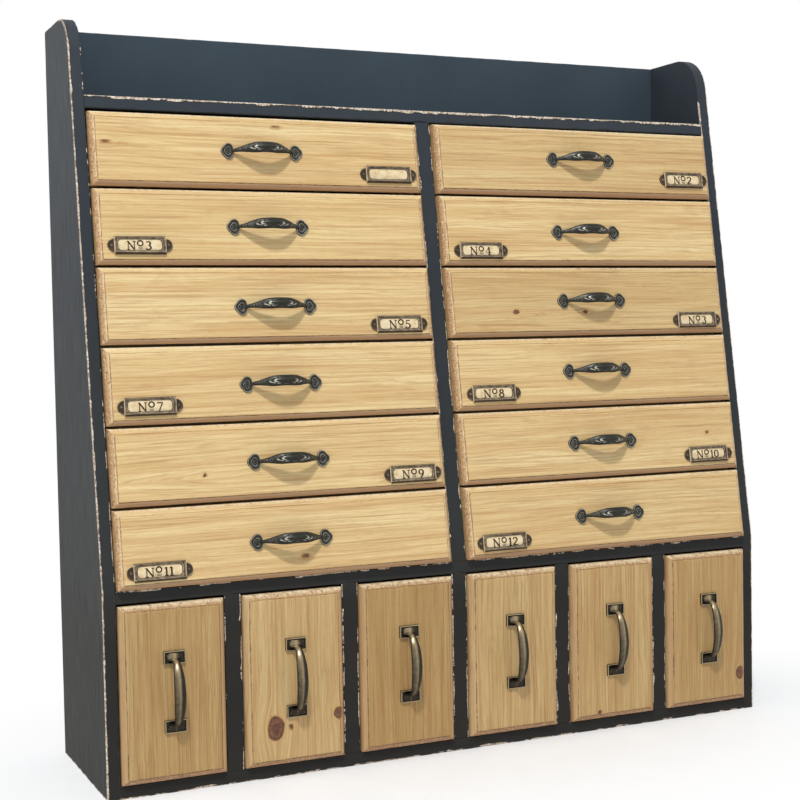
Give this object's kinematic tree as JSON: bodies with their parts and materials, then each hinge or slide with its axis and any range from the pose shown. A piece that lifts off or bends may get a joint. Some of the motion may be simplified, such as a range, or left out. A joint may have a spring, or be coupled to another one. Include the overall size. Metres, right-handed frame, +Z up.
{
  "type": "spice drawer cabinet",
  "caption": "Tabletop apothecary chest: painted case with a leaning front, wide labelled drawers in two columns, tall drawers below and a gallery shelf on top.",
  "frame": {"origin": "centre of the case's underside, where it stands on a table", "axes": "+X to the right, +Y from the drawer fronts to the back, +Z up"},
  "size_m": [0.7, 0.2026, 0.705],
  "materials": {
    "black_paint": "blue-black eggshell paint on pine, rubbed through to bare wood along its edges",
    "waxed_pine": "waxed knotty pine, satin, with darker worn edges",
    "plywood": "thin plain plywood",
    "aged_brass": "dark antique brass, rubbed bright on its high places",
    "steel_pins": "plain steel panel pins"
  },
  "bodies": {
    "case": {"left_side": "black_paint", "right_side": "black_paint", "bottom_board": "black_paint", "middle_shelf": "black_paint", "top_shelf": "black_paint", "gallery_board": "black_paint", "back_panel": "plywood", "centre_divider": "black_paint", "lower_dividers": "black_paint", "dust_panels": "plywood", "back_pins": "steel_pins"},
    "upper_drawer_01": {"upper_drawer_01": "waxed_pine", "bow_pull_01": "aged_brass", "label_holder_01": "aged_brass"},
    "upper_drawer_02": {"upper_drawer_02": "waxed_pine", "bow_pull_02": "aged_brass", "label_holder_02": "aged_brass"},
    "upper_drawer_03": {"upper_drawer_03": "waxed_pine", "bow_pull_03": "aged_brass", "label_holder_03": "aged_brass"},
    "upper_drawer_04": {"upper_drawer_04": "waxed_pine", "bow_pull_04": "aged_brass", "label_holder_04": "aged_brass"},
    "upper_drawer_05": {"upper_drawer_05": "waxed_pine", "bow_pull_05": "aged_brass", "label_holder_05": "aged_brass"},
    "upper_drawer_06": {"upper_drawer_06": "waxed_pine", "bow_pull_06": "aged_brass", "label_holder_06": "aged_brass"},
    "upper_drawer_07": {"upper_drawer_07": "waxed_pine", "bow_pull_07": "aged_brass", "label_holder_07": "aged_brass"},
    "upper_drawer_08": {"upper_drawer_08": "waxed_pine", "bow_pull_08": "aged_brass", "label_holder_08": "aged_brass"},
    "upper_drawer_09": {"upper_drawer_09": "waxed_pine", "bow_pull_09": "aged_brass", "label_holder_09": "aged_brass"},
    "upper_drawer_10": {"upper_drawer_10": "waxed_pine", "bow_pull_10": "aged_brass", "label_holder_10": "aged_brass"},
    "upper_drawer_11": {"upper_drawer_11": "waxed_pine", "bow_pull_11": "aged_brass", "label_holder_11": "aged_brass"},
    "upper_drawer_12": {"upper_drawer_12": "waxed_pine", "bow_pull_12": "aged_brass", "label_holder_12": "aged_brass"},
    "lower_drawer_1": {"lower_drawer_1": "waxed_pine", "strap_pull_1": "aged_brass"},
    "lower_drawer_2": {"lower_drawer_2": "waxed_pine", "strap_pull_2": "aged_brass"},
    "lower_drawer_3": {"lower_drawer_3": "waxed_pine", "strap_pull_3": "aged_brass"},
    "lower_drawer_4": {"lower_drawer_4": "waxed_pine", "strap_pull_4": "aged_brass"},
    "lower_drawer_5": {"lower_drawer_5": "waxed_pine", "strap_pull_5": "aged_brass"},
    "lower_drawer_6": {"lower_drawer_6": "waxed_pine", "strap_pull_6": "aged_brass"}
  },
  "joints": [
    {"name": "upper_drawer_01_slide", "type": "slide", "parent": "case", "child": "upper_drawer_01", "axis": [0, -1, 0], "range_m": [0, 0.085]},
    {"name": "upper_drawer_02_slide", "type": "slide", "parent": "case", "child": "upper_drawer_02", "axis": [0, -1, 0], "range_m": [0, 0.085]},
    {"name": "upper_drawer_03_slide", "type": "slide", "parent": "case", "child": "upper_drawer_03", "axis": [0, -1, 0], "range_m": [0, 0.095]},
    {"name": "upper_drawer_04_slide", "type": "slide", "parent": "case", "child": "upper_drawer_04", "axis": [0, -1, 0], "range_m": [0, 0.095]},
    {"name": "upper_drawer_05_slide", "type": "slide", "parent": "case", "child": "upper_drawer_05", "axis": [0, -1, 0], "range_m": [0, 0.11]},
    {"name": "upper_drawer_06_slide", "type": "slide", "parent": "case", "child": "upper_drawer_06", "axis": [0, -1, 0], "range_m": [0, 0.11]},
    {"name": "upper_drawer_07_slide", "type": "slide", "parent": "case", "child": "upper_drawer_07", "axis": [0, -1, 0], "range_m": [0, 0.12]},
    {"name": "upper_drawer_08_slide", "type": "slide", "parent": "case", "child": "upper_drawer_08", "axis": [0, -1, 0], "range_m": [0, 0.12]},
    {"name": "upper_drawer_09_slide", "type": "slide", "parent": "case", "child": "upper_drawer_09", "axis": [0, -1, 0], "range_m": [0, 0.13]},
    {"name": "upper_drawer_10_slide", "type": "slide", "parent": "case", "child": "upper_drawer_10", "axis": [0, -1, 0], "range_m": [0, 0.13]},
    {"name": "upper_drawer_11_slide", "type": "slide", "parent": "case", "child": "upper_drawer_11", "axis": [0, -1, 0], "range_m": [0, 0.14]},
    {"name": "upper_drawer_12_slide", "type": "slide", "parent": "case", "child": "upper_drawer_12", "axis": [0, -1, 0], "range_m": [0, 0.14]},
    {"name": "lower_drawer_1_slide", "type": "slide", "parent": "case", "child": "lower_drawer_1", "axis": [0, -1, 0], "range_m": [0, 0.155]},
    {"name": "lower_drawer_2_slide", "type": "slide", "parent": "case", "child": "lower_drawer_2", "axis": [0, -1, 0], "range_m": [0, 0.155]},
    {"name": "lower_drawer_3_slide", "type": "slide", "parent": "case", "child": "lower_drawer_3", "axis": [0, -1, 0], "range_m": [0, 0.155]},
    {"name": "lower_drawer_4_slide", "type": "slide", "parent": "case", "child": "lower_drawer_4", "axis": [0, -1, 0], "range_m": [0, 0.155]},
    {"name": "lower_drawer_5_slide", "type": "slide", "parent": "case", "child": "lower_drawer_5", "axis": [0, -1, 0], "range_m": [0, 0.155]},
    {"name": "lower_drawer_6_slide", "type": "slide", "parent": "case", "child": "lower_drawer_6", "axis": [0, -1, 0], "range_m": [0, 0.155]}
  ]
}
